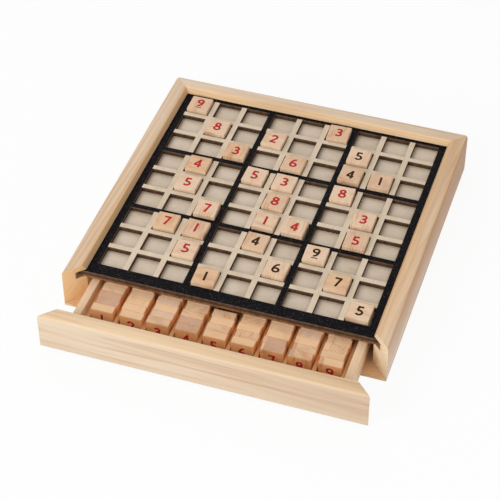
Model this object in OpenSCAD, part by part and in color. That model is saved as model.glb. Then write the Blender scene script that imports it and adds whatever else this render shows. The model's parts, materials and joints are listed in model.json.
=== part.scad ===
// Wooden sudoku board: a mitred frame round a grid of square cells, with loose number tiles,
// and a tile drawer whose front is the fourth rail of the frame.
// Millimetres, +Z up. The origin is on the underside, at the middle of the case.
// The drawer opens towards -Y.

/* [Playing panel] */
// Side of one square cell
cell_s = 22.5; // [21:0.5:26]
// Width of the bars between the cells
bar_w = 5; // [4:0.5:7]
// Thickness of the cut grid plate, which is the depth of a cell
grid_t = 4.5; // [3:0.5:6]
// Thickness of the floor plate under the cells
floor_t = 2; // [1.5:0.5:4]
// Border beside the grid, as far as the side rails
side_border = 6.75; // [5:0.25:12]
// Border behind the grid, as far as the back rail
back_border = 3.5; // [3:0.5:10]
// Border in front of the grid, as far as the panel's bare front edge
front_border = 12; // [8:0.5:20]

/* [Case] */
// Width of a rail, seen from above
rail_w = 16; // [14:0.5:22]
// Height of the rails above the playing panel
lip_h = 6; // [4:0.5:9]
// Height of the upright foot of the lip's inner face
lip_foot = 1; // [0.6:0.1:2]
// Width of the bevel on the lip's inner edge
bevel_w = 2.4; // [1:0.2:4]
// Rounding between the bevel and the top of a rail
bevel_r = 1.2; // [0.5:0.1:2]
// Rounding of the outer top edges
edge_r = 2; // [1:0.25:2.75]
// Rounding of the two back corners, seen from above
corner_r = 3.5; // [3:0.5:6]
// Depth of the groove that holds the panel
groove_d = 7; // [5:0.5:9]
// Play between the panel and the bottom of its groove
groove_play = 0.5; // [0.3:0.1:1]
// Play above the panel in its groove
groove_rise = 0.3; // [0.1:0.1:0.5]
// Thickness of the base panel
base_t = 2.5; // [2:0.5:5]

/* [Number tiles] */
// Play round a tile in its cell, on each side
tile_play = 1.25; // [0.5:0.25:2]
// Thickness of a tile
tile_t = 8; // [6:0.5:10]
// Rounding of a tile's edges
tile_r = 0.6; // [0.3:0.1:1]
// Share of the play that a tile on the board may be shifted by
shift_share = 0.4; // [0:0.05:0.5]
// Share of the play that a tile on the board may be turned by
turn_share = 0.25; // [0:0.05:0.4]
// Tiles of each number in the set
tiles_per_number = 10; // [8:1:12]
// Share of the play that a stored tile may be shifted by in its channel
stack_share = 0.7; // [0:0.05:0.9]

/* [Drawer] */
// Thickness of the drawer front
front_t = 13.5; // [12:0.5:18]
// Rounding of the drawer front's inner top edge
front_r = 1.5; // [0.5:0.25:3]
// Rounding of the drawer front's lower edge
front_ease = 1; // [0.5:0.25:2]
// Gap between the shut drawer front and the panel's edge
front_gap = 0.5; // [0.3:0.1:1]
// Gap across the mitres of the shut drawer front
mitre_gap = 0.3; // [0.2:0.1:0.8]
// Running gap under the drawer
run_gap = 0.3; // [0.2:0.1:0.6]
// Room above the stored tiles
head_gap = 1.2; // [0.5:0.1:2]
// Gap beside the drawer, on each side
side_gap = 5.5; // [1:0.5:8]
// Thickness of the drawer's sides and back
wall_t = 7; // [5:0.5:9]
// Thickness of the drawer bottom
bottom_t = 2; // [1.5:0.5:4]
// Width of the rabbet in the sides that takes the bottom
rabbet_w = 3.5; // [2:0.5:4.5]
// Play of a stored tile in its channel, on each side
channel_play = 0.75; // [0.35:0.05:1]
// Thickness of the dividers between the channels
divider_t = 3.5; // [2.5:0.25:4.5]
// Height of the dividers and edge strips
divider_h = 12.5; // [8:0.5:16]
// Finger space in front of the stacks
finger_gap = 21; // [15:1:30]
// Spare length behind a full stack
spare_len = 28; // [10:1:60]
// Gap between neighbouring tiles of a stack
stack_gap = 0.25; // [0.1:0.05:0.5]
// How far the drawer stands open
drawer_open = 54; // [0:1:90]

/* [Hidden] */
$fn = 48;
// A cutting tool reaches this far past what it cuts
cut = 1;
// A rounded corner stands this far proud of the faces that it rounds, so that it crosses them
corner_proud = 0.05;
// Cells along each side of the grid
cells = 9;
// Angles that scatter the shift and turn of the tiles, from one tile to the next
scatter_x = 137;
scatter_y = 222;
scatter_turn = 97;

// Plan of the panel and case
pitch = cell_s + bar_w;
grid_s = cells * cell_s + (cells - 1) * bar_w;
case_w = grid_s + 2 * (side_border + rail_w);
case_d = rail_w + back_border + grid_s + front_border + front_gap + front_t;
half_w = case_w / 2;
half_d = case_d / 2;
tongue = groove_d - groove_play;
panel_w = case_w - 2 * (rail_w - tongue);
panel_front = front_t + front_gap - half_d;
panel_back = half_d - rail_w + tongue;
grid_front = panel_front + front_border;

// Levels, from the underside up
tile_s = cell_s - 2 * tile_play;
drawer_z = base_t + run_gap;
stack_z = drawer_z + bottom_t;
stack_top = stack_z + tile_s;
floor_z = stack_top + head_gap;
grid_z = floor_z + floor_t;
panel_top = grid_z + grid_t;
case_h = panel_top + lip_h;
rail_h = case_h - base_t;

// Bevel of a rail's inner edge and the tangent length of its rounding
bevel_angle = atan2(lip_h - lip_foot, bevel_w);
bevel_tangent = bevel_r * tan(bevel_angle / 2);
bevel_start = rail_w - bevel_w;

// Drawer
front_h = case_h - drawer_z;
front_slip = mitre_gap * sqrt(2);
drawer_w = case_w - 2 * (rail_w + side_gap);
well_w = drawer_w - 2 * wall_t;
well_len = finger_gap + tiles_per_number * (tile_t + stack_gap) + spare_len;
drawer_len = well_len + wall_t;
well_front = front_t - half_d - drawer_open;
channel_w = tile_s + 2 * channel_play;
channel_pitch = channel_w + divider_t;
strip_w = (well_w - cells * channel_w - (cells - 1) * divider_t) / 2;

// How much a tile on the board may be shifted, and how far turned
shift_max = shift_share * tile_play;
turn_max = asin(turn_share * tile_play / (tile_s / 2));

// Numbers on the board, row by row from the back, 0 for an empty cell
puzzle = [
    [9, 0, 0, 0, 0, 3, 0, 0, 0],
    [0, 8, 0, 2, 0, 0, 5, 0, 0],
    [0, 0, 3, 0, 6, 0, 4, 1, 0],
    [0, 4, 0, 5, 3, 0, 8, 0, 0],
    [0, 5, 0, 0, 8, 0, 0, 3, 0],
    [0, 0, 7, 0, 1, 4, 0, 5, 0],
    [0, 7, 1, 0, 4, 0, 9, 0, 0],
    [0, 0, 5, 0, 0, 6, 0, 7, 0],
    [0, 0, 0, 1, 0, 0, 0, 0, 5]
];
last = cells - 1;
placed = [for (row = [0 : last]) for (col = [0 : last]) if (puzzle[row][col] > 0) [row, col]];

// Tiles of one number that are left in the drawer
function stored(number) =
    tiles_per_number - len([for (at = placed) if (puzzle[at[0]][at[1]] == number) at]);

function cell_x(col) = (cell_s - grid_s) / 2 + col * pitch;
function cell_y(row) = grid_front + cell_s / 2 + (last - row) * pitch;
function channel_x(number) = -well_w / 2 + strip_w + channel_w / 2 + (number - 1) * channel_pitch;
function front_name(number) = str("front_tile_", number);
function stack_name(number) = str("tile_stack_", number);
function tile_name(at) = str("tile_row", at[0] + 1, "_col", at[1] + 1);

// Section of a rail: across it from the outer face, and up from its foot
module rail_section() {
    difference() {
        union() {
            polygon([
                [0, 0],
                [rail_w, 0],
                [rail_w, rail_h - lip_h + lip_foot],
                [bevel_start + bevel_tangent * cos(bevel_angle), rail_h - bevel_tangent * sin(bevel_angle)],
                [bevel_start - bevel_tangent, rail_h],
                [edge_r, rail_h],
                [0, rail_h - edge_r]
            ]);
            translate([edge_r, rail_h - edge_r]) circle(edge_r);
            translate([bevel_start - bevel_tangent, rail_h - bevel_r]) circle(bevel_r);
        }
        translate([rail_w - groove_d, floor_z - base_t])
            square([groove_d + cut, floor_t + grid_t + groove_rise]);
    }
}

// Rail along +X with its outer face on y = 0, cut to a plan that gives its mitres
module rail(length, plan) {
    intersection() {
        rotate([90, 0, 90]) linear_extrude(length) rail_section();
        translate([0, 0, -cut]) linear_extrude(rail_h + 2 * cut) polygon(plan);
    }
}

// What is cut away outside the rounded back corner of the frame, at the rail's end x = 0
module corner_waste() {
    difference() {
        translate([-cut, -cut, -cut]) cube([corner_r + cut, corner_r + cut, rail_h + 2 * cut]);
        translate([corner_r, corner_r, 0]) rotate_extrude() union() {
            translate([0, -2 * cut]) square([corner_r + corner_proud, rail_h - edge_r + 2 * cut]);
            square([corner_r - edge_r, rail_h + corner_proud]);
            intersection() {
                translate([corner_r - edge_r, rail_h - edge_r]) circle(edge_r + corner_proud);
                square([corner_r + cut, rail_h + cut]);
            }
        }
    }
}

// Side rail along +X, from its rounded back corner to its open front mitre
module side_rail() {
    difference() {
        rail(case_d, [[0, 0], [case_d, 0], [case_d - rail_w, rail_w], [rail_w, rail_w]]);
        corner_waste();
    }
}

module left_rail() {
    color("wheat") translate([-half_w, half_d, base_t]) rotate([0, 0, -90]) side_rail();
}

module right_rail() {
    mirror([1, 0, 0]) left_rail();
}

module back_rail() {
    color("wheat") translate([half_w, half_d, base_t]) rotate([0, 0, 180]) difference() {
        rail(case_w, [[0, 0], [case_w, 0], [case_w - rail_w, rail_w], [rail_w, rail_w]]);
        corner_waste();
        translate([case_w, 0, 0]) mirror([1, 0, 0]) corner_waste();
    }
}

// Thin board under the rails, with the back corners of the frame
module base_panel() {
    color("burlywood") linear_extrude(base_t) union() {
        translate([-half_w, -half_d]) square([case_w, case_d - corner_r]);
        translate([corner_r - half_w, half_d - 2 * corner_r]) square([case_w - 2 * corner_r, 2 * corner_r]);
        for (side = [-1, 1])
            translate([side * (half_w - corner_r), half_d - corner_r]) circle(corner_r);
    }
}

// Outline that both plies of the panel share
module panel_outline() {
    translate([-panel_w / 2, panel_front]) square([panel_w, panel_back - panel_front]);
}

module floor_plate() {
    color("tan") translate([0, 0, floor_z]) linear_extrude(floor_t) panel_outline();
}

module grid_plate() {
    color("dimgray") translate([0, 0, grid_z]) linear_extrude(grid_t) difference() {
        panel_outline();
        for (row = [0 : last], col = [0 : last])
            translate([cell_x(col), cell_y(row)]) square(cell_s, center = true);
    }
}

// Section of the drawer front: from its face backwards, and up from its lower edge
module front_section() {
    union() {
        polygon([
            [front_ease, 0],
            [front_t, 0],
            [front_t, front_h - front_r],
            [front_t - front_r, front_h],
            [edge_r, front_h],
            [0, front_h - edge_r],
            [0, front_ease]
        ]);
        translate([front_ease, front_ease]) circle(front_ease);
        translate([edge_r, front_h - edge_r]) circle(edge_r);
        translate([front_t - front_r, front_h - front_r]) circle(front_r);
    }
}

// Fourth rail of the frame: its mitred ends meet those of the side rails when shut
module drawer_front() {
    color("wheat") translate([-half_w, well_front - front_t, drawer_z]) intersection() {
        rotate([90, 0, 90]) linear_extrude(case_w) front_section();
        translate([0, 0, -cut]) linear_extrude(front_h + 2 * cut) polygon([
            [front_slip, 0],
            [case_w - front_slip, 0],
            [case_w - front_slip - front_t, front_t],
            [front_slip + front_t, front_t]
        ]);
    }
}

module drawer_left_side() {
    color("peru") translate([-drawer_w / 2, well_front + drawer_len, drawer_z])
        rotate([90, 0, 0]) linear_extrude(drawer_len) polygon([
            [0, 0],
            [wall_t - rabbet_w, 0],
            [wall_t - rabbet_w, bottom_t],
            [wall_t, bottom_t],
            [wall_t, bottom_t + tile_s],
            [0, bottom_t + tile_s]
        ]);
}

module drawer_right_side() {
    mirror([1, 0, 0]) drawer_left_side();
}

module drawer_back() {
    color("peru") translate([-well_w / 2, well_front + well_len, stack_z]) cube([well_w, wall_t, tile_s]);
}

module drawer_bottom() {
    color("tan") translate([-well_w / 2 - rabbet_w, well_front, drawer_z])
        cube([well_w + 2 * rabbet_w, drawer_len, bottom_t]);
}

// Low strips between the channels
module channel_dividers() {
    color("sandybrown") for (number = [1 : last])
        translate([channel_x(number) + channel_w / 2, well_front, stack_z])
            cube([divider_t, well_len, divider_h]);
}

// Low strips that fill the well beside the outer channels
module edge_strips() {
    color("sandybrown") for (side = [0, 1])
        mirror([side, 0, 0]) translate([-well_w / 2, well_front, stack_z])
            cube([strip_w, well_len, divider_h]);
}

// Square with round corners, centred
module round_rect(width, height) {
    union() {
        square([width - 2 * tile_r, height], center = true);
        square([width, height - 2 * tile_r], center = true);
        for (x = [-1, 1], y = [-1, 1])
            translate([x * (width / 2 - tile_r), y * (height / 2 - tile_r)]) circle(tile_r);
    }
}

// Number tile lying flat on z = 0, with all its edges eased
module tile() {
    translate([0, 0, tile_t / 2]) intersection() {
        linear_extrude(tile_t, center = true) round_rect(tile_s, tile_s);
        rotate([90, 0, 0]) linear_extrude(tile_s, center = true) round_rect(tile_s, tile_t);
        rotate([90, 0, 90]) linear_extrude(tile_s, center = true) round_rect(tile_s, tile_t);
    }
}

// Tile stood on edge in the channel of its number, face to the front, a little loose
module stored_tile(number, place) {
    color("navajowhite") translate([
        channel_x(number) + stack_share * channel_play * sin((number * cells + place) * scatter_x),
        well_front + finger_gap + place * (tile_t + stack_gap) - stack_gap,
        stack_z + tile_s / 2
    ]) rotate([90, 0, 0]) tile();
}

// First tile of a channel, the one that a fingertip lifts out
module front_tile(number) {
    stored_tile(number, 1);
}

// The tiles of the same number behind it
module tile_stack(number) {
    for (place = [2 : stored(number)]) stored_tile(number, place);
}

// One of the tiles on the board, lying a little loose in its cell
module board_tile(index) {
    row = placed[index][0];
    col = placed[index][1];
    color("navajowhite") translate([
        cell_x(col) + shift_max * sin(index * scatter_x),
        cell_y(row) + shift_max * sin(index * scatter_y),
        grid_z
    ]) rotate([0, 0, turn_max * sin(index * scatter_turn)]) tile();
}

left_rail();
right_rail();
back_rail();
base_panel();
floor_plate();
grid_plate();
drawer_front();
drawer_left_side();
drawer_right_side();
drawer_back();
drawer_bottom();
channel_dividers();
edge_strips();
for (number = [1 : cells])
    front_tile(number);
for (number = [1 : cells])
    tile_stack(number);
for (index = [0 : len(placed) - 1])
    board_tile(index);
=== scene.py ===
import json
import math
from typing import NamedTuple

import bmesh
import bpy
from bpy.props import FloatProperty, FloatVectorProperty, IntProperty, PointerProperty
from mathutils import Matrix, Vector

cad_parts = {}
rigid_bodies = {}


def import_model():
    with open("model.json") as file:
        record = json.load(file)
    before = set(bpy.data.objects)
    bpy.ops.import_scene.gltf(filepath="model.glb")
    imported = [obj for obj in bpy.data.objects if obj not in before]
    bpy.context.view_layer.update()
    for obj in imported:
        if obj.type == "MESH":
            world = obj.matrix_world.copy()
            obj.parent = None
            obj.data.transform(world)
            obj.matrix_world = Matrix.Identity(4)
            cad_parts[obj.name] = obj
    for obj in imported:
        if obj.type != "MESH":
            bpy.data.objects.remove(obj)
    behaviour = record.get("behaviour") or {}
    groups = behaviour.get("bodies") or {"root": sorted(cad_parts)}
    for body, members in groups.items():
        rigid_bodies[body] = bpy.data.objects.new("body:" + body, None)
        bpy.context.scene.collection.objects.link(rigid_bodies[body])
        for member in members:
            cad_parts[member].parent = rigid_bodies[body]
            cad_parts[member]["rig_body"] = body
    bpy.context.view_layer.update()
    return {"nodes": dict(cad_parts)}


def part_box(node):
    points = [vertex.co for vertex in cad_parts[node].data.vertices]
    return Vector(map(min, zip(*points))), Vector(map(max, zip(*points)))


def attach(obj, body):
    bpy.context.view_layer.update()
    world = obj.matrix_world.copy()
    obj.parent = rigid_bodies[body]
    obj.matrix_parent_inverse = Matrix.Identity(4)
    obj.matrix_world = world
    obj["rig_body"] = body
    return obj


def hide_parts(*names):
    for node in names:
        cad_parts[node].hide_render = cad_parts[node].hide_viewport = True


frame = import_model()

bl_info = {
    "name": "Wooden Sudoku Board",
    "version": (1, 0, 0),
    "blender": (4, 5, 0),
    "location": "3D View > Sidebar > Sudoku",
    "description": "Finishes a wooden sudoku board with its drawer and number tiles",
    "category": "Object",
}

# Layout of the game: numbers on the board row by row from the back, a dot for an empty cell
BOARD = (
    "9....3...",
    ".8.2..5..",
    "..3.6.41.",
    ".4.53.8..",
    ".5..8..3.",
    "..7.14.5.",
    ".71.4.9..",
    "..5..6.7.",
    "...1....5",
)
# Wood of each tile on the board: p pale, h honey, a amber
WOODS = (
    "h....h...",
    ".p.p..p..",
    "..a.h.hh.",
    ".a.pp.p..",
    ".p..h..p.",
    "..p.pp.h.",
    ".ah.h.p..",
    "..p..p.a.",
    "...a....p",
)
# Row and column of the tiles that show their black number; the others show red
BLACK_TILES = {(2, 7), (3, 7), (3, 8), (7, 5), (7, 7), (8, 6), (8, 8), (9, 4), (9, 9)}
# Cells along a side of the board and of a block between black lines
CELLS = len(BOARD)
BLOCK = 3

# A millimetre, in metres
MM = 0.001
# Points nearer than this are one point
TOUCH = 1e-6
# Decimals of a metre that tell the grid's edges apart
EDGE_DECIMALS = 5
# Room round the panel in its groove
GROOVE_PLAY = 0.4 * MM
# Angle from a square tile's middle to its corner
CORNER_ANGLE = math.radians(45)


# Sizes that come from the frame

def box_middle(node):
    """Middle of a node's box."""
    low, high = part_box(node)
    return (low + high) / 2


def tile_nodes():
    """Row, column and node name of every tile on the board."""
    return [
        (row, col, f"tile_row{row}_col{col}")
        for row, line in enumerate(BOARD, 1)
        for col, mark in enumerate(line, 1)
        if mark != "."
    ]


def grid_lattice():
    """Width of a cell, width of a bar and middle of the grid's top, from the grid plate's own edges."""
    mesh = frame["nodes"]["grid_plate"].data
    low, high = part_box("grid_plate")
    inner = []
    for axis in (0, 1):
        places = sorted({round(v.co[axis], EDGE_DECIMALS) for v in mesh.vertices})
        inner.append([p for p in places if low[axis] + MM < p < high[axis] - MM])
    across, along = inner
    cell = across[1] - across[0]
    bar = across[2] - across[1]
    return cell, bar, Vector(((across[0] + across[-1]) / 2, (along[0] + along[-1]) / 2, high.z))


def rail_width():
    """Width of a rail: the back rail's depth."""
    low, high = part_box("back_rail")
    return high.y - low.y


def groove_levels():
    """Lowest and highest level of the groove that holds the panel, with its play."""
    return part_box("floor_plate")[0].z - GROOVE_PLAY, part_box("grid_plate")[1].z + GROOVE_PLAY


def groove_start(node):
    """How far inwards of a rail's middle its groove starts, from the panel's edge beside it."""
    side = 0 if node == "left_rail" else 1
    axis = 1 if node == "back_rail" else 0
    depth = abs(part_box("grid_plate")[side][axis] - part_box(node)[side][axis])
    return depth - rail_width() / 2 - 2 * GROOVE_PLAY


def stack_step():
    """Distance from one stored tile to the next."""
    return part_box("tile_stack_1")[0].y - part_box("front_tile_1")[0].y


def stack_gap():
    """Gap between one stored tile and the next."""
    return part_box("tile_stack_1")[0].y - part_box("front_tile_1")[1].y


def tile_turn(node):
    """How far a tile on the board is turned in its cell, from the corner of its top face."""
    middle = box_middle(node)
    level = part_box(node)[1].z - TOUCH
    top = [v.co - middle for v in frame["nodes"][node].data.vertices if v.co.z > level]
    corner = max(top, key=lambda p: p.x + p.y)
    return math.atan2(corner.y, corner.x) - CORNER_ANGLE


CELL, BAR, GRID_MIDDLE = grid_lattice()
PITCH = CELL + BAR
# From the grid's middle to the outer edge of its last cells
GRID_HALF = (CELLS * PITCH - BAR) / 2


def linear(colour):
    """A screen colour as the light that a shader works with, by the sRGB curve, with alpha."""
    light = [c / 12.92 if c <= 0.04045 else ((c + 0.055) / 1.055) ** 2.4 for c in colour]
    return (*light, 1.0)


def swatch(name, description, *levels):
    """Setting for a screen colour, from its red, green and blue levels of 0 to 255."""
    return FloatVectorProperty(
        name=name, description=description, default=[level / 255 for level in levels],
        size=3, min=0, max=1, subtype="COLOR_GAMMA"
    )


def length_property(name, description, metres):
    """Setting for a length."""
    return FloatProperty(name=name, description=description, default=metres, min=0, unit="LENGTH")


def angle_property(name, description, degrees):
    """Setting for an angle."""
    turn = math.radians(degrees)
    return FloatProperty(name=name, description=description, default=turn, subtype="ANGLE")


def power_property(name, description, watts):
    """Setting for the power of a lamp."""
    return FloatProperty(name=name, description=description, default=watts, min=0, unit="POWER")


class SudokuWoods(bpy.types.PropertyGroup):
    """Colours of the woods."""

    pine_light: swatch("Pine light", "Early wood of the frame", 227, 207, 182)
    pine_dark: swatch("Pine dark", "Late wood of the frame", 192, 152, 114)
    pine_blush: swatch("Pine blush", "Pinkish grey patches in the frame", 212, 184, 163)
    pine_warm: swatch("Pine warm", "Orange patches in the frame", 222, 176, 124)
    # Painted light and painted shade on the right rail's outer face, from its front foot to its far top
    pine_painted_light: swatch("Pine pale", "Painted light on a rail's outer face", 252, 234, 216)
    pine_painted_shade: swatch("Pine deep", "Painted shade on a rail's outer face", 186, 134, 98)
    sawn: swatch("Sawn end", "End grain of the mitres", 255, 214, 160)
    sawn_pale: swatch("Pale sawn end", "End grain of the palest rail", 255, 236, 204)
    # Partly the groove's rough wood, partly painted shade in its recess
    groove: swatch("Groove", "Rough groove that holds the panel, darkened with painted shade", 128, 86, 58)
    drawer_light: swatch("Drawer light", "Early wood of the drawer's sides", 242, 213, 178)
    drawer_dark: swatch("Drawer dark", "Late wood of the drawer's sides", 208, 160, 116)
    base_light: swatch("Base light", "Plywood of the base panel", 240, 213, 171)
    base_dark: swatch("Base dark", "Grain of the base panel", 214, 162, 113)
    # Wood inside the drawer, deepened and warmed by painted shade and painted bounce light
    inside_shaded_light: swatch("Inside light", "Early wood inside the drawer, with painted shade", 230, 178, 120)
    inside_shaded_dark: swatch("Inside dark", "Late wood inside the drawer, with painted shade", 182, 116, 64)
    floor_light: swatch("Floor light", "Plywood floor of the cells", 229, 212, 191)
    floor_dark: swatch("Floor dark", "Grain of the cells' floor", 202, 183, 160)
    # Colour of the painted shade at the foot of the cells' walls
    floor_painted_shade: swatch("Floor painted shade", "Floor beside the cells' walls", 166, 144, 118)
    bar_light: swatch("Bar light", "Plywood bars between the cells", 232, 214, 190)
    bar_dark: swatch("Bar dark", "Grain of the bars", 204, 184, 160)
    print_black: swatch("Black print", "Printed border and block lines", 4, 3, 8)
    burnt: swatch("Burnt edge", "Cut edges of the grid", 88, 64, 46)
    # Painted highlight along the top of the grid's cut edges
    burnt_highlight: swatch("Edge highlight", "Upper rim of the grid's cut edges", 116, 98, 84)
    scorched: swatch("Scorched edge", "Cut edge of the cells' floor", 142, 100, 68)
    soot: swatch("Soot", "Darkest streaks of the cut edges", 50, 36, 28)
    pale_light: swatch("Pale light", "Light wood of the pale tiles", 234, 204, 175)
    pale_dark: swatch("Pale dark", "Grain of the pale tiles", 208, 162, 122)
    honey_light: swatch("Honey light", "Light wood of the honey tiles", 226, 191, 159)
    honey_dark: swatch("Honey dark", "Grain of the honey tiles", 194, 144, 104)
    amber_light: swatch("Amber light", "Light wood of the amber tiles", 228, 190, 152)
    amber_dark: swatch("Amber dark", "Grain of the amber tiles", 194, 132, 84)
    # Upright sides of board tiles: their cut grain, partly painted light
    tile_edge_and_light: swatch("Tile edge", "Cut edges of the tiles on the board", 249, 218, 184)
    stored_straw: swatch("Stored straw", "Palest of the stored tiles", 236, 194, 150)
    stored_rose: swatch("Stored rose", "Greyish stored tiles", 206, 166, 138)
    # Upright sides of stored tiles: their own orange, partly painted warm bounce light
    stored_edge_and_light: swatch("Stored edge", "Upright sides of stored tiles", 255, 190, 126)


class SudokuNumbers(bpy.types.PropertyGroup):
    """Printed numbers."""

    height: length_property("Height", "Height of a number", 11.0 * MM)
    stroke: length_property("Stroke", "Width of a number's strokes", 2.05 * MM)
    ink: length_property("Ink", "Thickness of the printed ink", 0.06 * MM)
    red: swatch("Red ink", "Numbers printed in red", 187, 43, 45)
    black: swatch("Black ink", "Numbers printed in black", 58, 30, 10)


class SudokuEdges(bpy.types.PropertyGroup):
    """Sanded edges of the wood."""

    frame_ease: length_property("Frame edges", "Sanding of the frame's edges", 0.35 * MM)
    drawer_ease: length_property("Drawer edges", "Sanding of the drawer's edges", 0.4 * MM)
    segments: IntProperty(name="Segments", description="Steps in a sanded edge", default=2, min=1, max=4)


class SudokuStage(bpy.types.PropertyGroup):
    """Camera, floor and light."""

    azimuth: angle_property("Azimuth", "Camera's turn to the right of the front", 18.53)
    elevation: angle_property("Elevation", "Camera's height above the horizon", 43.37)
    roll: angle_property("Roll", "Camera's roll", -0.26)
    distance: length_property("Distance", "From the camera to its target", 1.4802)
    target: FloatVectorProperty(
        name="Target", description="Middle of the picture", default=(-0.00213, -0.06108, 0.0325),
        subtype="XYZ", unit="LENGTH"
    )
    lens: FloatProperty(name="Lens", description="Focal length", default=122.6, unit="CAMERA")
    key_power: power_property("Key light", "Power of the main light", 19.2)
    back_power: power_property("Back light", "Power of the back light", 8.5)
    side_power: power_property("Side light", "Power of the low light", 0.9)
    top_power: power_property("Top light", "Power of the top light", 2.6)
    sky: FloatProperty(name="Sky", description="Strength of the light from all round", default=0.46)


class Noise(NamedTuple):
    """A pattern of noise: its scale, levels of detail, roughness, and its pace along each axis."""

    scale: float
    detail: float = 2.0
    roughness: float = 0.5
    pace: tuple = (1, 1, 1)


class Sheen(NamedTuple):
    """How a surface takes the light: depth of its grain, lowest and highest roughness, and gloss."""

    depth: float
    smooth: float
    rough: float
    gloss: float


# Strength of every bump; its depth differs
BUMP_STRENGTH = 0.6
# Range of a noise in which most of its values lie
MOST = (0.3, 0.7)


def feed(tree, socket, value):
    """Link a socket to another, or set its own value."""
    if isinstance(value, bpy.types.NodeSocket):
        tree.links.new(value, socket)
    else:
        socket.default_value = value


def wire(tree, kind, inputs=(), **settings):
    """A new node with its settings, and its inputs, given by name or in order, linked or set."""
    node = tree.nodes.new(kind)
    for key, value in settings.items():
        setattr(node, key, value)
    for key, value in inputs.items() if isinstance(inputs, dict) else enumerate(inputs):
        feed(tree, node.inputs[key], value)
    return node


class Finish:
    """One material and short names for the nodes that finish wood and print."""

    def __init__(self, name):
        self.material = bpy.data.materials.new(name)
        self.material.use_nodes = True
        self.tree = self.material.node_tree
        self.shader = self.tree.nodes["Principled BSDF"]
        self.place = self.add("ShaderNodeTexCoord").outputs["Object"]
        self.facing = self.add("ShaderNodeNewGeometry").outputs["Normal"]

    def add(self, kind, inputs=(), **settings):
        """A new node of this material."""
        return wire(self.tree, kind, inputs, **settings)

    def math(self, operation, *values, clamp=False):
        """Result of an operation on numbers."""
        return self.add("ShaderNodeMath", values, operation=operation, use_clamp=clamp).outputs[0]

    def vector(self, operation, *values):
        """Result of an operation on vectors."""
        node = self.add("ShaderNodeVectorMath", values, operation=operation)
        return node.outputs["Value" if operation in ("LENGTH", "DOT_PRODUCT") else "Vector"]

    def mapped(self, vector, location=(0, 0, 0), turn=(0, 0, 0), scale=(1, 1, 1)):
        """A vector that is scaled, then turned, then moved."""
        return self.add("ShaderNodeMapping", (vector, location, turn, scale)).outputs[0]

    def split(self, vector):
        """The three values of a vector."""
        return self.add("ShaderNodeSeparateXYZ", (vector,)).outputs

    def noise(self, vector, kind, shift=(0, 0, 0)):
        """Value of a pattern of noise over a vector, which may be shifted."""
        return self.add("ShaderNodeTexNoise", {
            "Vector": self.mapped(vector, location=shift, scale=kind.pace),
            "Scale": kind.scale,
            "Detail": kind.detail,
            "Roughness": kind.roughness,
        }).outputs[0]

    def chance(self, vector):
        """A random value and a random colour for each whole step of a vector."""
        step = self.vector("FLOOR", vector)
        node = self.add("ShaderNodeTexWhiteNoise", {"Vector": step}, noise_dimensions="3D")
        return node.outputs["Value"], node.outputs["Color"]

    def fade(self, value, low, high, start=0.0, end=1.0):
        """A smooth step of a value from low to high."""
        numbers = (value, low, high, start, end)
        return self.add("ShaderNodeMapRange", numbers, interpolation_type="SMOOTHSTEP").outputs[0]

    def mix(self, share, first, second):
        """The first colour with a share of the second; a mix node's colours are its inputs 6 and 7."""
        return self.add("ShaderNodeMix", {0: share, 6: first, 7: second}, data_type="RGBA").outputs[2]

    def ramp(self, value, stops, interpolation="LINEAR"):
        """A colour that follows pairs of place and colour."""
        node = self.add("ShaderNodeValToRGB", (value,))
        node.color_ramp.interpolation = interpolation
        elements = node.color_ramp.elements
        while len(elements) < len(stops):
            elements.new(1.0)
        for element, (place, colour) in zip(elements, stops):
            element.position = place
            element.color = colour
        return node.outputs[0]

    def shades(self, value, stops):
        """A grey that follows pairs of place and level."""
        return self.ramp(value, [(place, (level, level, level, 1)) for place, level in stops])

    def tones(self, value, colours):
        """One of a few screen colours, each for an equal share of the values from 0 to 1."""
        if len(colours) == 1:
            return linear(colours[0])
        stops = [(index / len(colours), linear(colour)) for index, colour in enumerate(colours)]
        return self.ramp(value, stops, "CONSTANT")

    def surface(self, colour, grain, sheen, relief=None):
        """The finished material: its grain roughens it and is felt, unless another relief is given."""
        bump = self.add("ShaderNodeBump", {
            "Strength": BUMP_STRENGTH,
            "Distance": sheen.depth,
            "Height": grain if relief is None else relief,
        })
        values = {
            "Base Color": colour,
            "Roughness": self.fade(grain, *MOST, sheen.smooth, sheen.rough),
            "Specular IOR Level": sheen.gloss,
            "Normal": bump.outputs[0],
        }
        for name, value in values.items():
            feed(self.tree, self.shader.inputs[name], value)
        return self.material


# Turns that lay a board's grain, which runs along its length, on the X axis of its pattern
ALONG_X = (0, 0, 0)
ALONG_Y = (0, 0, math.radians(-90))
# A fade: where it starts and ends and, where they are fixed, the shares there. These two are of a slope
UPWARD_FADE = (0.4, 0.6)
UPRIGHT_FADE = (0.3, 0.7)

# Pine: how the rings wander, patches, broad streaks and fine fibres, and how each of them fades
PINE_WANDER = Noise(30, pace=(0.05, 1, 1))
PINE_PATCHES = Noise(62, detail=3, pace=(0.05, 1, 1))
PINE_STREAKS = Noise(190, detail=3, pace=(0.03, 1, 1))
PINE_FIBRES = Noise(1300, detail=3, roughness=0.65, pace=(0.02, 1, 1))
PINE_SHEEN = Sheen(0.05 * MM, 0.45, 0.62, 0.3)
BLUSH_FADE = (0.42, 0.7, 0.0, 0.65)
WARM_FADE = (0.35, 0.65)
FIGURE_FADE = (0.32, 0.68, 0.15, 1.0)
STREAK_FADE = (0.5, 0.72)
FIBRE_FADE = (0.5, 0.8, 0.0, 0.3)
SAWN_FADE = (0.3, 0.75)
# Growth rings of the pine: their spacing, how far they wander, and how they narrow along the tree
RING = 3.6 * MM
RING_WANDER = 30 * MM
RING_TAPER = 0.025
# Place in a ring and how dark it is there, and the rings' share in the relief
RING_SHADES = ((0.0, 0.05), (0.4, 0.15), (0.78, 0.9), (0.9, 0.7), (1.0, 0.05))
RING_RELIEF = 0.5
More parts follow.
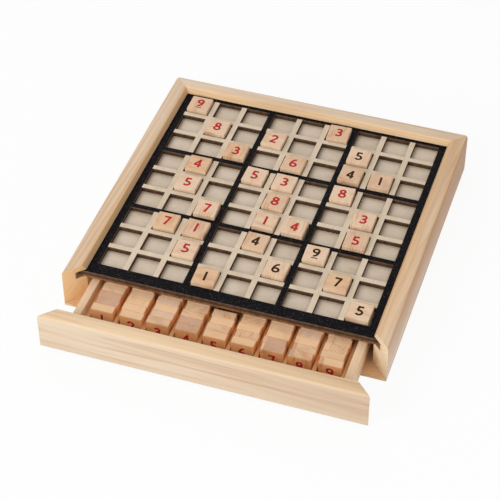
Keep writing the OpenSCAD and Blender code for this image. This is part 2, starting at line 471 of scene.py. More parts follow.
# Finer lines between the rings: half their spacing, their fade, and their share of a ring's strength
THREAD = 0.55 * MM
THREAD_FADE = (0.45, 1.0)
THREAD_SHARE = 0.35
# Share of the rings on a sawn end
SAWN_RINGS = 0.16
# Painted light to painted shade on an outer face: reach along it, weight of a step up, depth and share
SHADE_REACH = 220 * MM
SHADE_RISE = 7.0
OUTER_SKIN = 1.4 * MM
OUTER_SHARE = 0.8
# Where the band of painted light beside the panel is full, and the depth of the paler tone along a top
LIT_BAND_END = 5 * MM
CROWN_DEPTH = 2.5 * MM

# Plywood: how its lines wander and how far, their spacing and shades, fibres and two sizes of clouds
PLY_WANDER = Noise(60, pace=(0.35, 1, 1))
PLY_DRIFT = 12 * MM
PLY_LINE = 1.9 * MM
PLY_SHADES = ((0.0, 0.0), (0.5, 0.25), (0.85, 1.0), (1.0, 0.0))
PLY_LINE_SHARE = 0.3
PLY_FIBRES = Noise(1500, detail=3, roughness=0.7, pace=(0.05, 1, 1))
PLY_FIBRE_FADE = (0.35, 0.75, 0.0, 0.4)
PLY_CLOUDS = (
    (Noise(90, detail=3), (0.4, 0.7, 0.0, 0.25)),
    (Noise(20), (0.35, 0.65, 0.0, 0.3)),
)
PLY_SHEEN = Sheen(0.04 * MM, 0.55, 0.72, 0.2)
# Band of painted shade along the foot of a cell's walls, its strength, and the uneven patches in it
SHADE_WIDTH = 3.2 * MM
SHADE_SHARE = 0.55
SHADE_BREAKS = Noise(220, detail=3)
SHADE_BREAK_FADE = (0.2, 0.6, 0.5, 1.0)
# Laser-cut edges: where the painted highlight under their top ends and where it is full, below the top,
# and the smoke on them
HIGHLIGHT_END = 1.8 * MM
HIGHLIGHT_FULL = 0.6 * MM
SMOKE = Noise(260, detail=3, pace=(1, 1, 0.5))
SMOKE_FADE = (0.35, 0.75, 0.0, 0.6)
# Black print: specks of dust
SPECKS = Noise(900, roughness=0.8)
SPECK_FADE = (0.56, 0.76, 0.0, 0.2)
PRINT_SHEEN = Sheen(0.03 * MM, 0.6, 0.75, 0.06)

# Tiles: how their lines wander and how far, their spacing, shades and strength, fibres and clouds
TILE_WANDER = Noise(110, pace=(1, 0.3, 0.3))
TILE_DRIFT = 9 * MM
TILE_LINE = 2.6 * MM
TILE_SHADES = ((0.0, 0.05), (0.4, 0.2), (0.75, 1.0), (0.9, 0.5), (1.0, 0.05))
TILE_LINE_FADE = (0.0, 1.0, 0.1, 0.6)
TILE_FIBRES = Noise(1700, detail=3, roughness=0.65, pace=(1, 0.05, 0.08))
TILE_FIBRE_FADE = (0.4, 0.75, 0.0, 0.3)
TILE_CLOUDS = Noise(120, pace=(1, 0.5, 0.5))
TILE_FIGURE_FADE = (0.35, 0.65, 0.35, 1.0)
TILE_CLOUD_FADE = (0.45, 0.7, 0.0, 0.3)
TILE_SHEEN = Sheen(0.04 * MM, 0.48, 0.64, 0.3)
# Middle of a tile's luck, luck above which its grain is turned, and by how much
MID_LUCK = (0.5, 0.5, 0.5)
TURN_LUCK = 0.6
QUARTER_TURN = math.radians(90)
# Share of the upright sides' tone on board tiles (their cut grain, partly painted light) and on stored
# ones (their own orange, partly painted warm bounce light), and how far stored grain leans
TILE_EDGE_LIGHT_SHARE = 0.6
STORED_EDGE_LIGHT_SHARE = 0.92
STORED_LEAN = math.radians(150)
# Luck changes from step to step; upwards, one step from below the part holds all of it
LEVEL_STEP = 10.0
LEVEL_DROP = 1.0

# Ink: how the grain takes it, and how much paler it gets where the grain takes less
INK_GRAIN = Noise(1400, detail=3, roughness=0.7, pace=(1, 0.25, 0.25))
INK_FADE = (0.45, 0.8)
INK_WEAR = 0.14
INK_SHEEN = Sheen(0.02 * MM, 0.5, 0.7, 0.05)


class Cut(NamedTuple):
    """How a board was cut from the tree, and how strong its figure is."""

    # Turn of its grain, ALONG_X or ALONG_Y
    grain: tuple
    # Heart of the tree beside the board: across the board and up, in metres
    heart: tuple
    # Side of the board that faces the panel, as a sign across the board, or 0 for none
    inner_side: float = 0.0
    # Strength of the orange patches
    warmth: float = 0.4
    # Band of painted light on the inner slope beside the panel: its strength, its start inwards of the
    # board's middle, whether it is pale
    lit_band: float = 0.0
    lit_band_start: float = -2 * MM
    pale_lit_band: bool = False
    # Paler tone along the top, and how much darker the board is at its far end
    crown: float = 0.0
    deepen: float = 0.0
    # Strength of the rings, of the streaks and of the sawn ends
    rings: float = 0.6
    streaks: float = 0.2
    sawn: float = 0.8


def growth_rings(f, along, wander, heart):
    """Shade of the growth rings, with finer lines between them, round a heart beside the board."""
    radius = f.vector("LENGTH", f.mapped(along, location=(0, *heart), scale=(0, 1, 1)))
    radius = f.math("MULTIPLY_ADD", wander, RING_WANDER, radius)
    radius = f.math("MULTIPLY_ADD", f.split(along)[0], RING_TAPER, radius)
    rings = f.shades(f.math("FRACT", f.math("DIVIDE", radius, RING)), RING_SHADES)
    threads = f.math("DIVIDE", f.math("PINGPONG", radius, THREAD), THREAD)
    return f.math("MULTIPLY_ADD", f.fade(threads, *THREAD_FADE), THREAD_SHARE, rings, clamp=True)


def plank(node, tones, cut, groove=None, outer=None):
    """Sanded pine board: growth rings round a heart beside it, streaks, fibres, patches and sawn ends.

    Where their tones are given, the panel's groove is rough and darkened with painted shade, and the
    outer face runs from painted light at its front foot to painted shade at its far top.
    """
    light, dark, blush, warm, sawn = (linear(colour) for colour in tones)
    f = Finish("pine_" + node)
    low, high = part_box(node)
    half = (high - low) / 2
    middle = box_middle(node)
    turned = Matrix.Rotation(cut.grain[2], 3, "Z") @ middle
    along = f.mapped(f.place, location=tuple(-turned), turn=cut.grain)
    length, across, up = f.split(along)
    inward = f.math("MULTIPLY", across, cut.inner_side)
    wander = f.noise(along, PINE_WANDER, tuple(middle))
    patches = f.noise(along, PINE_PATCHES, tuple(middle))
    streaks = f.noise(along, PINE_STREAKS, tuple(middle))
    fibres = f.noise(along, PINE_FIBRES)
    rings = growth_rings(f, along, wander, cut.heart)
    colour = f.mix(f.fade(wander, *BLUSH_FADE), light, blush)
    colour = f.mix(f.fade(patches, *WARM_FADE, 0.0, cut.warmth), colour, warm)
    # Painted light on the inner slope beside the panel: warm on the side rails, pale on the back rail
    if cut.lit_band:
        lit_band = f.fade(inward, cut.lit_band_start, LIT_BAND_END, 0.0, cut.lit_band)
        colour = f.mix(lit_band, colour, sawn if cut.pale_lit_band else warm)
    if cut.crown:
        colour = f.mix(f.fade(up, half.z - CROWN_DEPTH, half.z, 0.0, cut.crown), colour, sawn)
    if cut.deepen:
        colour = f.mix(f.fade(length, -half.x, half.x, 0.0, cut.deepen), colour, dark)
    # Painted light at the outer face's front foot, fading to painted shade at its far top
    if outer is not None:
        depth = f.math("MULTIPLY_ADD", up, SHADE_RISE, length)
        far_shade = f.fade(depth, -SHADE_REACH, SHADE_REACH / 2)
        lit_and_shaded = f.mix(far_shade, *(linear(colour) for colour in outer))
        skin = rail_width() / 2
        colour = f.mix(f.fade(inward, -skin, OUTER_SKIN - skin, OUTER_SHARE, 0.0), colour, lit_and_shaded)
    strength = f.math("MULTIPLY", f.fade(patches, *FIGURE_FADE), cut.rings)
    colour = f.mix(f.math("MULTIPLY", rings, strength), colour, dark)
    colour = f.mix(f.fade(streaks, *STREAK_FADE, 0.0, cut.streaks), colour, dark)
    colour = f.mix(f.fade(fibres, *FIBRE_FADE), colour, dark)
    ends = f.vector("DOT_PRODUCT", f.facing, (1, 0, 0) if cut.grain == ALONG_X else (0, 1, 0))
    ends = f.fade(f.math("ABSOLUTE", ends), *SAWN_FADE, 0.0, cut.sawn)
    colour = f.mix(ends, colour, f.mix(f.math("MULTIPLY", rings, SAWN_RINGS), sawn, dark))
    # Groove: rough wood, darkened with painted shade in its recess
    if groove is not None:
        foot, top = groove_levels()
        inside = f.math("COMPARE", f.split(f.place)[2], (foot + top) / 2, (top - foot) / 2)
        inside = f.math("MULTIPLY", inside, f.math("GREATER_THAN", inward, groove_start(node)))
        colour = f.mix(inside, colour, f.mix(f.fade(fibres, *MOST), linear(groove), dark))
    relief = f.math("MULTIPLY_ADD", rings, RING_RELIEF, fibres)
    return f.surface(colour, fibres, PINE_SHEEN, relief)


def plywood(name, light, dark):
    """Thin plywood with a fine wandering grain."""
    f = Finish(name)
    colour, fibres = ply_grain(f, light, dark, ALONG_X)
    return f.surface(colour, fibres, PLY_SHEEN)


def cell_floor(woods):
    """Plywood under the cells: painted shade along the foot of each cell's walls, and scorched at its
    edge.
    """
    f = Finish("cell_floor")
    colour, fibres = ply_grain(f, woods.floor_light, woods.floor_dark, ALONG_X)
    centred = f.split(f.vector("SUBTRACT", f.place, tuple(GRID_MIDDLE)))
    # Painted shade along the foot of each cell's walls, made uneven by noise
    shade_breaks = f.fade(f.noise(f.place, SHADE_BREAKS), *SHADE_BREAK_FADE)
    for axis in (0, 1):
        # Distance from the middle of the nearest cell
        away = f.math("PINGPONG", f.math("ADD", centred[axis], CELLS * PITCH), PITCH / 2)
        shaded = f.fade(away, CELL / 2 - SHADE_WIDTH, CELL / 2, 0.0, SHADE_SHARE)
        colour = f.mix(f.math("MULTIPLY", shaded, shade_breaks), colour, linear(woods.floor_painted_shade))
    edge = burnt_edge(f, woods.scorched, woods.scorched, woods.soot)
    colour = f.mix(f.fade(f.split(f.facing)[2], *UPWARD_FADE), edge, colour)
    return f.surface(colour, fibres, PLY_SHEEN)


def burnt_edge(f, deep, rim, soot):
    """Colour of a laser-cut edge: a painted highlight under the top, browner below, and sooty streaks."""
    level = f.split(f.place)[2]
    top = GRID_MIDDLE.z
    # Painted highlight just under the top, burnt brown below
    edge = f.mix(f.fade(level, top - HIGHLIGHT_END, top - HIGHLIGHT_FULL), linear(deep), linear(rim))
    return f.mix(f.fade(f.noise(f.place, SMOKE), *SMOKE_FADE), edge, linear(soot))


def ply_grain(f, light, dark, grain):
    """Colour and fibres of a ply's face."""
    along = f.mapped(f.place, turn=grain)
    lines = f.math("MULTIPLY_ADD", f.noise(along, PLY_WANDER), PLY_DRIFT, f.split(along)[1])
    lines = f.shades(f.math("FRACT", f.math("DIVIDE", lines, PLY_LINE)), PLY_SHADES)
    fibres = f.noise(along, PLY_FIBRES)
    share = f.math("MULTIPLY_ADD", lines, PLY_LINE_SHARE, f.fade(fibres, *PLY_FIBRE_FADE), clamp=True)
    for clouds, fade in PLY_CLOUDS:
        share = f.math("ADD", share, f.fade(f.noise(along, clouds), *fade), clamp=True)
    return f.mix(share, linear(light), linear(dark)), fibres


def printed_grid(woods):
    """Laser-cut grid: plywood bars, a black border and block lines on top, and burnt edges."""
    f = Finish("printed_grid")
    bare, fibres = ply_grain(f, woods.bar_light, woods.bar_dark, ALONG_Y)
    centred = f.split(f.vector("SUBTRACT", f.place, tuple(GRID_MIDDLE)))
    block_line = BLOCK * PITCH / 2
    black = 0.0
    for axis in (0, 1):
        away = f.math("ABSOLUTE", centred[axis])
        border = f.math("GREATER_THAN", away, GRID_HALF)
        for mask in (border, f.math("COMPARE", away, block_line, BAR / 2)):
            black = f.math("MAXIMUM", black, mask)
    dust = f.fade(f.noise(f.place, SPECKS), *SPECK_FADE)
    ink = f.mix(dust, linear(woods.print_black), linear(woods.bar_dark))
    edge = burnt_edge(f, woods.burnt, woods.burnt_highlight, woods.soot)
    colour = f.mix(f.fade(f.split(f.facing)[2], *UPWARD_FADE), edge, f.mix(black, bare, ink))
    return f.surface(colour, fibres, PRINT_SHEEN)


def tile_wood(name, pairs, steps, origin, edge, edge_light_share, lean=None):
    """Hard pale wood cut into tiles, each with its own piece of grain and pair of tones, and on its
    upright sides a tone that is partly painted light.

    A tile's luck comes from its step of place from the origin. Its grain runs along one of its sides, or
    leans by up to the given angle.
    """
    f = Finish(name)
    luck, lucky = f.chance(f.vector("DIVIDE", f.vector("SUBTRACT", f.place, origin), steps))
    strength, turn, _ = f.split(lucky)
    if lean is None:
        angle = f.math("MULTIPLY", f.math("GREATER_THAN", turn, TURN_LUCK), QUARTER_TURN)
    else:
        angle = f.math("MULTIPLY", turn, lean)
    own = f.add("ShaderNodeVectorRotate", {
        "Vector": f.vector("ADD", f.place, f.vector("SUBTRACT", lucky, MID_LUCK)),
        "Angle": angle,
    }, rotation_type="Z_AXIS").outputs[0]
    lines = f.math("MULTIPLY_ADD", f.noise(own, TILE_WANDER), TILE_DRIFT, f.split(own)[0])
    lines = f.shades(f.math("FRACT", f.math("DIVIDE", lines, TILE_LINE)), TILE_SHADES)
    fibres = f.noise(own, TILE_FIBRES)
    clouds = f.noise(own, TILE_CLOUDS)
    share = f.math("MULTIPLY", lines, f.fade(strength, *TILE_LINE_FADE))
    share = f.math("MULTIPLY", share, f.fade(clouds, *TILE_FIGURE_FADE))
    share = f.math("ADD", share, f.fade(clouds, *TILE_CLOUD_FADE))
    share = f.math("ADD", share, f.fade(fibres, *TILE_FIBRE_FADE), clamp=True)
    light = f.tones(luck, [first for first, second in pairs])
    dark = f.tones(luck, [second for first, second in pairs])
    # Upright sides lean to the edge tone: partly the cut grain, partly painted light
    upright = f.fade(f.math("ABSOLUTE", f.split(f.facing)[2]), *UPRIGHT_FADE, edge_light_share, 0.0)
    colour = f.mix(share, f.mix(upright, light, linear(edge)), dark)
    return f.surface(colour, fibres, TILE_SHEEN)


def printed_ink(name, colour):
    """Ink stamped on wood: a little uneven where the grain takes it."""
    f = Finish(name)
    grain = f.noise(f.place, INK_GRAIN)
    paler = tuple(c + (1 - c) * INK_WEAR for c in colour)
    tint = f.mix(f.fade(grain, *INK_FADE), linear(colour), linear(paler))
    return f.surface(tint, grain, INK_SHEEN)


# Faces that meet at less than the first angle are joined, and edges over the second are sanded
FLAT_ANGLE = math.radians(0.5)
SHARP_ANGLE = math.radians(25)


def dress(node, material):
    """Give a node of the frame its finish."""
    slots = frame["nodes"][node].data.materials
    slots.clear()
    slots.append(material)


def sanded_copy(node, ease, segments, material):
    """Stand in for a node with a copy whose sharp edges are sanded round."""
    body = frame["nodes"][node]["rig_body"]
    mesh = frame["nodes"][node].data.copy()
    shape = bmesh.new()
    shape.from_mesh(mesh)
    bmesh.ops.remove_doubles(shape, verts=shape.verts, dist=TOUCH)
    bmesh.ops.dissolve_limit(
        shape, angle_limit=FLAT_ANGLE, use_dissolve_boundaries=False, verts=shape.verts, edges=shape.edges
    )
    shape.to_mesh(mesh)
    shape.free()
    raw = bpy.data.objects.new(node + "_raw", mesh)
    bpy.context.scene.collection.objects.link(raw)
    bevel = raw.modifiers.new("sanding", "BEVEL")
    bevel.width = ease
    bevel.segments = segments
    bevel.limit_method = "ANGLE"
    bevel.angle_limit = SHARP_ANGLE
    shade = raw.modifiers.new("shading", "WEIGHTED_NORMAL")
    shade.keep_sharp = True
    piece = plain_mesh(raw, node + "_wood")
    for face in piece.data.polygons:
        face.use_smooth = True
    piece.data.materials.clear()
    piece.data.materials.append(material)
    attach(piece, body)
    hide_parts(node)
    return piece


def plain_mesh(source, name):
    """Turn an object with modifiers into a plain mesh object at the origin, and remove the source."""
    depsgraph = bpy.context.evaluated_depsgraph_get()
    mesh = bpy.data.meshes.new_from_object(source.evaluated_get(depsgraph))
    bpy.data.objects.remove(source)
    if not mesh.polygons:
        raise RuntimeError(f"{name} came out empty")
    mesh.name = name
    piece = bpy.data.objects.new(name, mesh)
    bpy.context.scene.collection.objects.link(piece)
    return piece


def arc(middle_x, middle_y, radius_x, radius_y, start, end, steps=16):
    """Points of an arc of an ellipse, between two angles in degrees."""
    angles = [math.radians(start + (end - start) * i / steps) for i in range(steps + 1)]
    return [(middle_x + radius_x * math.cos(a), middle_y + radius_y * math.sin(a)) for a in angles]


def half_turn(strokes, scale, rise):
    """Strokes turned upside down, as a nine is from a six, then scaled and raised."""
    return [[(-x * scale, (1 - y) * scale + rise) for x, y in stroke] for stroke in strokes]


# Strokes of the numbers, in number heights, from the foot up and centred across
SIX = [
    arc(0.13, 0.30, 0.355, 0.615, 86, 180),
    arc(0.0, 0.295, 0.225, 0.21, 0, 360, steps=28),
]
NUMBER_STROKES = {
    1: [[(0.0, 0.0), (0.0, 1.0)]],
    2: [arc(0.0, 0.70, 0.205, 0.215, 168, -30) + [(-0.20, 0.10)], [(-0.265, 0.085), (0.26, 0.085)]],
    3: [
        arc(-0.02, 0.725, 0.19, 0.19, 150, -80),
        arc(-0.03, 0.29, 0.23, 0.205, 82, -150),
        [(-0.11, 0.515), (0.03, 0.515)],
    ],
    4: [
        [(0.10, 0.0), (0.10, 1.0)],
        [(0.12, 0.95), (-0.255, 0.33)],
        [(-0.30, 0.29), (0.27, 0.29)],
    ],
    5: [
        [(-0.20, 0.915), (0.20, 0.915)],
        [(-0.135, 0.98), (-0.175, 0.50)],
        arc(-0.04, 0.31, 0.235, 0.225, 124, -148),
    ],
    6: SIX,
    7: [[(-0.26, 0.915), (0.26, 0.915)], [(0.205, 0.96), (-0.07, 0.0)]],
    8: [arc(0.0, 0.735, 0.18, 0.18, 0, 360, steps=26), arc(0.0, 0.29, 0.225, 0.205, 0, 360, steps=28)],
    9: half_turn(SIX, scale=0.94, rise=0.14),
}
# The numbers are drawn this much wider than their strokes say
WIDEN = 1.06
# Thin line under a nine, so that it isn't read as a six, and its share of a stroke's width
NINE_LINE = [(-0.25, 0.0), (0.25, 0.0)]
NINE_LINE_SHARE = 0.55


def stroke_curve(number, height):
    """The strokes of one number as a curve that lies flat, centred on the origin."""
    curve = bpy.data.curves.new(f"strokes_{number}", "CURVE")
    curve.dimensions = "3D"
    curve.twist_mode = "Z_UP"
    strokes = [(stroke, 1.0) for stroke in NUMBER_STROKES[number]]
    if number == 9:
        strokes.append((NINE_LINE, NINE_LINE_SHARE))
    for stroke, share in strokes:
        closed = math.dist(stroke[0], stroke[-1]) < TOUCH
        points = stroke[:-1] if closed else stroke
        spline = curve.splines.new("POLY")
        spline.points.add(len(points) - 1)
        spline.use_cyclic_u = closed
        for point, (x, y) in zip(spline.points, points):
            point.co = (x * WIDEN * height, (y - 0.5) * height, 0, 1)
            point.radius = share
    return curve


# Inputs of the tree that stamps a number, and their kinds
STAMP_INPUTS = {
    "Strokes": "Geometry",
    "Stroke Width": "Float",
    "Ink Thickness": "Float",
    "Count": "Int",
    "Place": "Vector",
    "Step": "Vector",
    "Turn": "Vector",
    "Ink": "Material",
}


def stamp_tree():
    """Node tree that sweeps a number's strokes into flat ink and stamps them along a row of tiles."""
    tree = bpy.data.node_groups.new("stamped_number", "GeometryNodeTree")
    face = tree.interface
    for name, kind in STAMP_INPUTS.items():
        face.new_socket(name, in_out="INPUT", socket_type="NodeSocket" + kind)
    face.new_socket("Number", in_out="OUTPUT", socket_type="NodeSocketGeometry")
    given = tree.nodes.new("NodeGroupInput").outputs
    sides = {"Width": given["Stroke Width"], "Height": given["Ink Thickness"]}
    section = wire(tree, "GeometryNodeCurvePrimitiveQuadrilateral", sides)
    sweep = wire(tree, "GeometryNodeCurveToMesh", {
        "Curve": given["Strokes"],
        "Profile Curve": section.outputs[0],
        "Scale": tree.nodes.new("GeometryNodeInputRadius").outputs[0],
        "Fill Caps": True,
    })
    swept = {"Mesh 2": sweep.outputs[0], "Self Intersection": True}
    joined = wire(tree, "GeometryNodeMeshBoolean", swept, operation="UNION", solver="EXACT")
    row = wire(tree, "GeometryNodeMeshLine", {
        "Count": given["Count"],
        "Start Location": given["Place"],
        "Offset": given["Step"],
    })
    stamp = wire(tree, "GeometryNodeInstanceOnPoints", {
        "Points": row.outputs[0],
        "Instance": joined.outputs["Mesh"],
        "Rotation": given["Turn"],
    })
    real = wire(tree, "GeometryNodeRealizeInstances", (stamp.outputs[0],))
    inked = {"Geometry": real.outputs[0], "Material": given["Ink"]}
    colour = wire(tree, "GeometryNodeSetMaterial", inked)
    wire(tree, "NodeGroupOutput", {"Number": colour.outputs[0]})
    return tree


def stamp_number(tree, name, number, settings, values):
    """Print one number, or a row of the same number, and return the plain mesh."""
    curve = stroke_curve(number, settings.height)
    source = bpy.data.objects.new(name + "_strokes", curve)
    bpy.context.scene.collection.objects.link(source)
    stamp = source.modifiers.new("stamp", "NODES")
    stamp.node_group = tree
    values = {"Stroke Width": settings.stroke, "Ink Thickness": settings.ink, **values}
    for item in tree.interface.items_tree:
        if item.in_out == "INPUT" and item.name in values:
            stamp[item.identifier] = values[item.name]
    return plain_mesh(source, name)


# Boards of the frame, of the drawer's box and inside the drawer
FRAME_CUTS = {
    "left_rail": Cut(ALONG_Y, (0.022, 0.034), inner_side=-1, warmth=0.35, lit_band=0.75, lit_band_start=2 * MM,
                     streaks=0.25, sawn=0.85),
    "right_rail": Cut(ALONG_Y, (0.018, 0.030), inner_side=1, warmth=0.85, lit_band=0.7, lit_band_start=-9 * MM,
                      rings=0.7, streaks=0.45, sawn=0.9),
    "back_rail": Cut(ALONG_X, (0.030, 0.030), inner_side=-1, warmth=0.3, lit_band=0.65, lit_band_start=2 * MM,
                     pale_lit_band=True, rings=0.55, streaks=0.25),
    "drawer_front": Cut(ALONG_X, (0.040, 0.012), warmth=0.15, crown=0.5, deepen=0.15,
                        rings=0.45, streaks=0.6),
}
SIDE_CUTS = {
    "drawer_left_side": Cut(ALONG_Y, (0.020, 0.020)),
    "drawer_right_side": Cut(ALONG_Y, (-0.026, 0.014)),
    "drawer_back": Cut(ALONG_X, (0.020, 0.030)),
}
INSIDE_CUTS = {
    "channel_dividers": Cut(ALONG_Y, (0.300, 0.030)),
    "edge_strips": Cut(ALONG_Y, (0.260, 0.040)),
}


class SUDOKU_OT_frame(bpy.types.Operator):
    """Finish the mitred pine frame and the drawer front, which is its fourth rail"""

    bl_idname = "sudoku.frame"
    bl_label = "Pine frame"

    def execute(self, context):
        woods, edges = context.scene.sudoku_woods, context.scene.sudoku_edges
        tones = (woods.pine_light, woods.pine_dark, woods.pine_blush, woods.pine_warm)
        for node, cut in FRAME_CUTS.items():
            palest = node == "right_rail"
            wood = plank(
                node, (*tones, woods.sawn_pale if palest else woods.sawn), cut,
                groove=woods.groove if cut.inner_side else None,
                outer=(woods.pine_painted_light, woods.pine_painted_shade) if palest else None
            )
            sanded_copy(node, edges.frame_ease, edges.segments, wood)
        return {"FINISHED"}


class SUDOKU_OT_drawer(bpy.types.Operator):
    """Finish the drawer's box with its dividers, and the base panel"""

    bl_idname = "sudoku.drawer"
    bl_label = "Drawer and base"

    def execute(self, context):
        woods, edges = context.scene.sudoku_woods, context.scene.sudoku_edges
        sides = (woods.drawer_light, woods.drawer_dark, woods.pine_blush, woods.pine_warm, woods.sawn)
        # Painted shade and warm bounce light deepen the wood inside the drawer
        inside = (woods.inside_shaded_light, woods.inside_shaded_dark, woods.pine_warm, woods.pine_warm, woods.sawn)
        for cuts, tones in ((SIDE_CUTS, sides), (INSIDE_CUTS, inside)):
            for node, cut in cuts.items():
                wood = plank(node, tones, cut)
                sanded_copy(node, edges.drawer_ease, edges.segments, wood)
        dress("drawer_bottom", plywood("drawer_plywood", woods.inside_shaded_light, woods.inside_shaded_dark))
        dress("base_panel", plywood("base_plywood", woods.base_light, woods.base_dark))
        return {"FINISHED"}


class SUDOKU_OT_panel(bpy.types.Operator):
    """Finish the playing panel: the printed grid and the floor of its cells"""

    bl_idname = "sudoku.panel"
    bl_label = "Playing panel"

    def execute(self, context):
        woods = context.scene.sudoku_woods
        dress("grid_plate", printed_grid(woods))
        dress("floor_plate", cell_floor(woods))
        return {"FINISHED"}


class SUDOKU_OT_tiles(bpy.types.Operator):
    """Finish the tiles on the board and those in the drawer"""

    bl_idname = "sudoku.tiles"
    bl_label = "Tile wood"

    def execute(self, context):
        woods = context.scene.sudoku_woods
        reach = CELLS * PITCH / 2
        corner = tuple(GRID_MIDDLE - Vector((reach, reach, LEVEL_DROP)))
        steps = (PITCH, PITCH, LEVEL_STEP)
        pairs = {
            "p": (woods.pale_light, woods.pale_dark),
            "h": (woods.honey_light, woods.honey_dark),
            "a": (woods.amber_light, woods.amber_dark),
        }
        finishes = {
            key: tile_wood("tile_" + key, [pair], steps, corner, woods.tile_edge_and_light, TILE_EDGE_LIGHT_SHARE)
            for key, pair in pairs.items()
        }
        for row, col, node in tile_nodes():
            dress(node, finishes[WOODS[row - 1][col - 1]])
        stored_pairs = [
            (woods.stored_straw, woods.pale_dark),
            (woods.amber_light, woods.honey_dark),
            (woods.stored_rose, woods.honey_dark),
            (woods.stored_straw, woods.amber_light),
            (woods.amber_light, woods.amber_dark),
            (woods.honey_light, woods.stored_rose),
        ]
        first, second = box_middle("front_tile_1"), box_middle("front_tile_2")
        channel = round((second.x - first.x) / MM) * MM
        start = (first.x - channel / 2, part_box("front_tile_1")[0].y - stack_gap() / 2, -LEVEL_DROP)
        steps = (channel, stack_step(), LEVEL_STEP)
        stored = tile_wood(
            "tile_stored", stored_pairs, steps, start, woods.stored_edge_and_light, STORED_EDGE_LIGHT_SHARE, STORED_LEAN
        )
        for number in range(1, CELLS + 1):
            dress(f"front_tile_{number}", stored)
            dress(f"tile_stack_{number}", stored)
        return {"FINISHED"}


class SUDOKU_OT_numbers(bpy.types.Operator):
    """Print the numbers on the tiles"""

    bl_idname = "sudoku.numbers"
    bl_label = "Printed numbers"

    def execute(self, context):
        settings = context.scene.sudoku_numbers
        tree = stamp_tree()
        red = printed_ink("red_ink", settings.red)
        black = printed_ink("black_ink", settings.black)
        for row, col, node in tile_nodes():
            place = box_middle(node)
            place.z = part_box(node)[1].z
            digit = int(BOARD[row - 1][col - 1])
            number = stamp_number(tree, f"number_row{row}_col{col}", digit, settings, {
                "Count": 1,
                "Place": tuple(place),
                "Turn": (0.0, 0.0, tile_turn(node)),
                "Ink": black if (row, col) in BLACK_TILES else red,
            })
            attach(number, node)
        step = stack_step()
        for digit in range(1, CELLS + 1):
            front, stack = f"front_tile_{digit}", f"tile_stack_{digit}"
            for node, body in ((front, front), (stack, "drawer")):
                low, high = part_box(node)
                number = stamp_number(tree, "number_" + node, digit, settings, {
                    "Count": round((high.y - low.y) / step),
                    "Place": ((low.x + high.x) / 2, low.y, (low.z + high.z) / 2),
                    "Step": (0.0, step, 0.0),
                    "Turn": (QUARTER_TURN, 0.0, 0.0),
                    "Ink": red,
                })
                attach(number, body)
        bpy.data.node_groups.remove(tree)
        return {"FINISHED"}


# Place and width of each lamp, and the setting for its power
LAMPS = {
    "key_light": ((-0.7, -1.55, 1.0), 1.1, "key_power"),
    "back_light": ((-1.0, 1.2, 1.2), 1.1, "back_power"),
    "side_light": ((0.75, -0.4, 0.22), 0.4, "side_power"),
    "top_light": ((0.0, 0.0, 1.8), 1.6, "top_power"),
}
WHITE = (1, 1, 1, 1)
# Floor: half its side, its paint, and its share of white where it is seen directly; the rest shows shadow
FLOOR_REACH = 6.0
FLOOR_PAINT = (0.9, 0.9, 0.9, 1)
FLOOR_WHITE = 0.92
# Camera: width of its sensor in millimetres, and the nearest distance that it sees
SENSOR_WIDTH = 36.0
NEAREST = 0.05


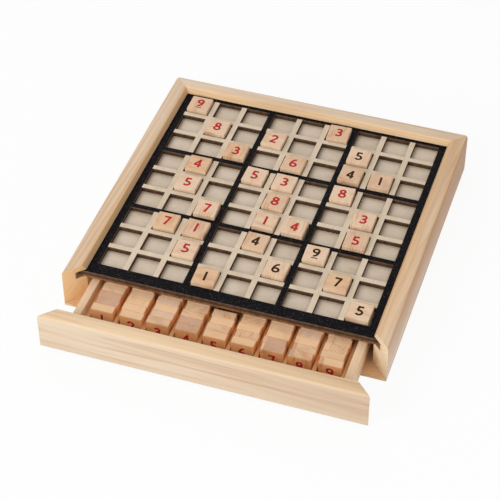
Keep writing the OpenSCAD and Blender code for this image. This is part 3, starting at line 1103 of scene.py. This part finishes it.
class SUDOKU_OT_stage(bpy.types.Operator):
    """Set the floor, the soft light and the camera"""

    bl_idname = "sudoku.stage"
    bl_label = "Stage"

    def execute(self, context):
        scene = context.scene
        stage = scene.sudoku_stage
        scene.view_settings.view_transform = "Standard"
        self.floor(scene)
        self.sky(scene, stage.sky)
        for name, (place, size, power) in LAMPS.items():
            self.lamp(scene, name, place, size, getattr(stage, power))
        self.camera(scene, stage)
        return {"FINISHED"}

    def floor(self, scene):
        """Pale floor that looks almost white and keeps the part's shadow."""
        mesh = bpy.data.meshes.new("floor")
        shape = bmesh.new()
        bmesh.ops.create_grid(shape, x_segments=1, y_segments=1, size=FLOOR_REACH)
        shape.to_mesh(mesh)
        shape.free()
        floor = bpy.data.objects.new("floor", mesh)
        scene.collection.objects.link(floor)
        material = bpy.data.materials.new("pale_floor")
        material.use_nodes = True
        tree = material.node_tree
        tree.nodes.clear()
        paint = wire(tree, "ShaderNodeBsdfDiffuse", {"Color": FLOOR_PAINT})
        glow = wire(tree, "ShaderNodeEmission", {"Strength": 1.0})
        share = wire(tree, "ShaderNodeMath", (seen_directly(tree), FLOOR_WHITE), operation="MULTIPLY")
        blend = wire(tree, "ShaderNodeMixShader", (share.outputs[0], paint.outputs[0], glow.outputs[0]))
        wire(tree, "ShaderNodeOutputMaterial", (blend.outputs[0],))
        mesh.materials.append(material)

    def sky(self, scene, strength):
        """Even light from all round, and white where the camera sees past the floor."""
        world = bpy.data.worlds.new("studio")
        world.use_nodes = True
        scene.world = world
        tree = world.node_tree
        light = tree.nodes["Background"]
        light.inputs["Color"].default_value = WHITE
        light.inputs["Strength"].default_value = strength
        white = wire(tree, "ShaderNodeBackground", {"Color": WHITE, "Strength": 1.0})
        seen = seen_directly(tree)
        blend = wire(tree, "ShaderNodeMixShader", (seen, light.outputs[0], white.outputs[0]))
        tree.links.new(blend.outputs[0], tree.nodes["World Output"].inputs[0])

    def lamp(self, scene, name, place, size, power):
        """Soft lamp that faces the part."""
        data = bpy.data.lights.new(name, "AREA")
        data.size = size
        data.energy = power
        lamp = bpy.data.objects.new(name, data)
        lamp.location = place
        lamp.rotation_euler = (-Vector(place)).to_track_quat("-Z", "Y").to_euler()
        scene.collection.objects.link(lamp)

    def camera(self, scene, stage):
        """Camera at the photograph's viewing angle."""
        data = bpy.data.cameras.new("camera")
        data.lens = stage.lens
        data.sensor_width = SENSOR_WIDTH
        data.clip_start = NEAREST
        camera = bpy.data.objects.new("camera", data)
        back = Vector((
            math.sin(stage.azimuth) * math.cos(stage.elevation),
            -math.cos(stage.azimuth) * math.cos(stage.elevation),
            math.sin(stage.elevation),
        ))
        right = Vector((math.cos(stage.azimuth), math.sin(stage.azimuth), 0))
        turn = Matrix((right, back.cross(right), back)).transposed() @ Matrix.Rotation(stage.roll, 3, "Z")
        place = Vector(stage.target) + back * stage.distance
        camera.matrix_world = Matrix.Translation(place) @ turn.to_4x4()
        scene.collection.objects.link(camera)
        scene.camera = camera


def seen_directly(tree):
    """Socket that is 1 for what the camera sees, also in gloss and through glass."""
    path = tree.nodes.new("ShaderNodeLightPath").outputs
    seen = path["Is Camera Ray"]
    for name in ("Is Glossy Ray", "Is Transmission Ray"):
        seen = wire(tree, "ShaderNodeMath", (seen, path[name]), operation="MAXIMUM").outputs[0]
    return seen


OPERATORS = (
    SUDOKU_OT_frame,
    SUDOKU_OT_drawer,
    SUDOKU_OT_panel,
    SUDOKU_OT_tiles,
    SUDOKU_OT_numbers,
    SUDOKU_OT_stage,
)
SETTINGS = {
    "sudoku_woods": SudokuWoods,
    "sudoku_numbers": SudokuNumbers,
    "sudoku_edges": SudokuEdges,
    "sudoku_stage": SudokuStage,
}


class SUDOKU_PT_sidebar(bpy.types.Panel):
    """Steps and settings of the sudoku board"""

    bl_idname = "SUDOKU_PT_sidebar"
    bl_label = "Wooden Sudoku Board"
    bl_space_type = "VIEW_3D"
    bl_region_type = "UI"
    bl_category = "Sudoku"

    def draw(self, context):
        for operator in OPERATORS:
            self.layout.operator(operator.bl_idname)
        for name in SETTINGS:
            group = getattr(context.scene, name)
            column = self.layout.column(align=True)
            for key in group.__annotations__:
                column.prop(group, key)


def register():
    """Add the settings, the operators and the panel to Blender."""
    for group in SETTINGS.values():
        bpy.utils.register_class(group)
    for name, group in SETTINGS.items():
        setattr(bpy.types.Scene, name, PointerProperty(type=group))
    for operator in OPERATORS:
        bpy.utils.register_class(operator)
    bpy.utils.register_class(SUDOKU_PT_sidebar)


def unregister():
    """Take the settings, the operators and the panel out again."""
    bpy.utils.unregister_class(SUDOKU_PT_sidebar)
    for operator in reversed(OPERATORS):
        bpy.utils.unregister_class(operator)
    for name, group in SETTINGS.items():
        delattr(bpy.types.Scene, name)
        bpy.utils.unregister_class(group)


def main():
    """Finish the part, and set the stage."""
    register()
    bpy.ops.sudoku.frame()
    bpy.ops.sudoku.drawer()
    bpy.ops.sudoku.panel()
    bpy.ops.sudoku.tiles()
    bpy.ops.sudoku.numbers()
    bpy.ops.sudoku.stage()


if __name__ == "__main__":
    main()
